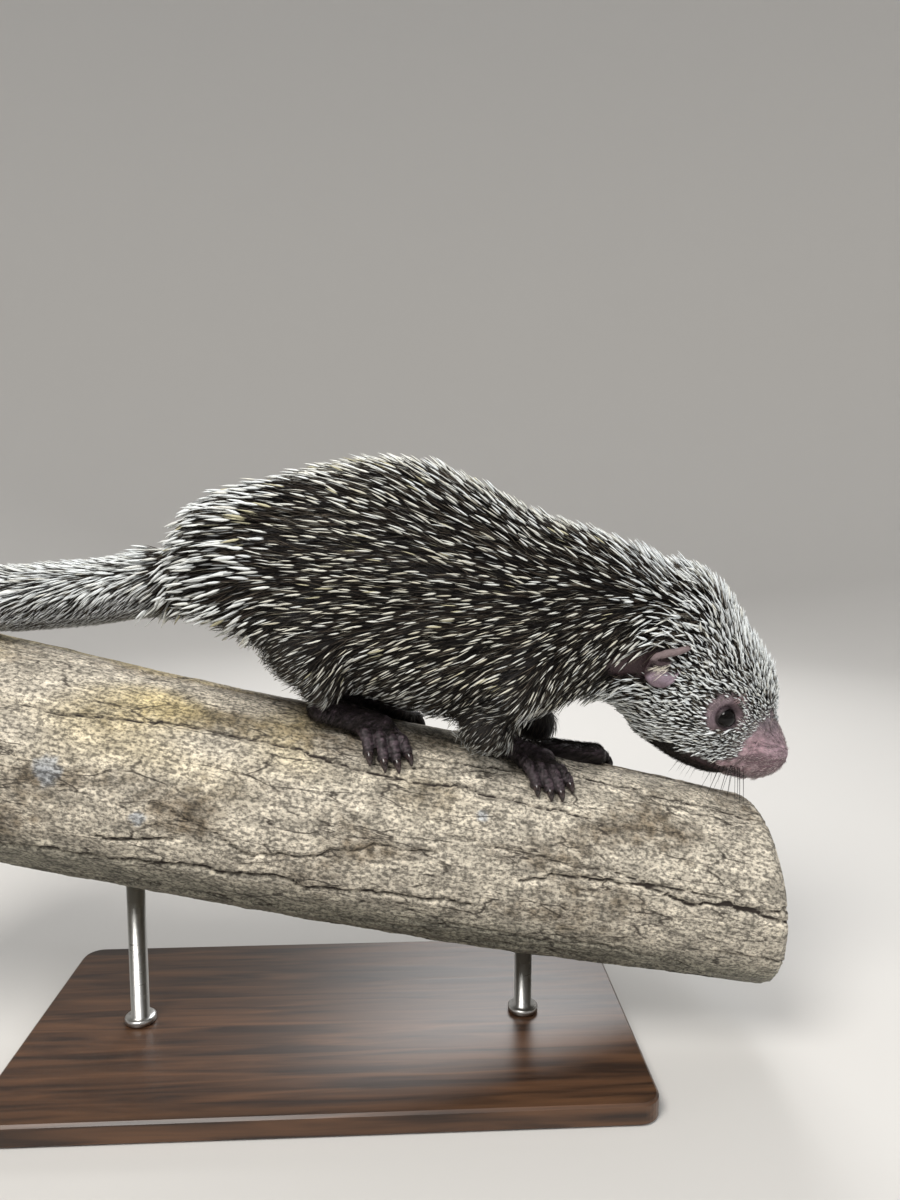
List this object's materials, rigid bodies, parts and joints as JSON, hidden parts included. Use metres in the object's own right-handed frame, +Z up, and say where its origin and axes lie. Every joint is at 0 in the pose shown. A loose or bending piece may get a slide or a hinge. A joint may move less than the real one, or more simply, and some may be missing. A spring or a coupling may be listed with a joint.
{
  "type": "porcupine model",
  "caption": "Life-size still model of a quilled, bulbous-nosed tree porcupine, nose down on a sloping log with its long tail over the far side, on a plain flat stand.",
  "frame": {"origin": "middle of the underside of the stand's base, on the floor", "axes": "+X along the log towards the animal's head, +Y to the animal's left, +Z up"},
  "size_m": [0.663, 0.2362, 0.3943],
  "materials": {
    "quills": "matte, black quills with ivory tips",
    "tail_quills": "matte, fine grey and white bristles",
    "foot_skin": "matte, dark purple-brown skin",
    "nose_skin": "satin, bare pink skin",
    "ear_skin": "matte, bare mauve skin",
    "eyes": "glossy, black-brown",
    "claws": "satin, dark horn",
    "bark": "rough grey-tan bark",
    "stand_wood": "satin, dark stained wood",
    "stand_metal": "satin"
  },
  "bodies": {
    "root": {"claw_fore_left_1": "claws", "claw_fore_left_2": "claws", "claw_fore_left_3": "claws", "claw_fore_left_4": "claws", "claw_fore_right_1": "claws", "claw_fore_right_2": "claws", "claw_fore_right_3": "claws", "claw_fore_right_4": "claws", "claw_hind_left_1": "claws", "claw_hind_left_2": "claws", "claw_hind_left_3": "claws", "claw_hind_left_4": "claws", "claw_hind_right_1": "claws", "claw_hind_right_2": "claws", "claw_hind_right_3": "claws", "claw_hind_right_4": "claws", "ear_left": "ear_skin", "ear_right": "ear_skin", "eye_left": "eyes", "eye_right": "eyes", "forefoot_left": "foot_skin", "forefoot_right": "foot_skin", "foreleg_left": "quills", "foreleg_right": "quills", "head": "quills", "hindfoot_left": "foot_skin", "hindfoot_right": "foot_skin", "hindleg_left": "quills", "hindleg_right": "quills", "log_perch": "bark", "neck": "quills", "nose": "nose_skin", "stand_base": "stand_wood", "stand_rod_high": "stand_metal", "stand_rod_low": "stand_metal", "tail_base": "tail_quills", "tail_mid": "tail_quills", "tail_tip": "tail_quills", "trunk": "quills"}
  },
  "joints": []
}
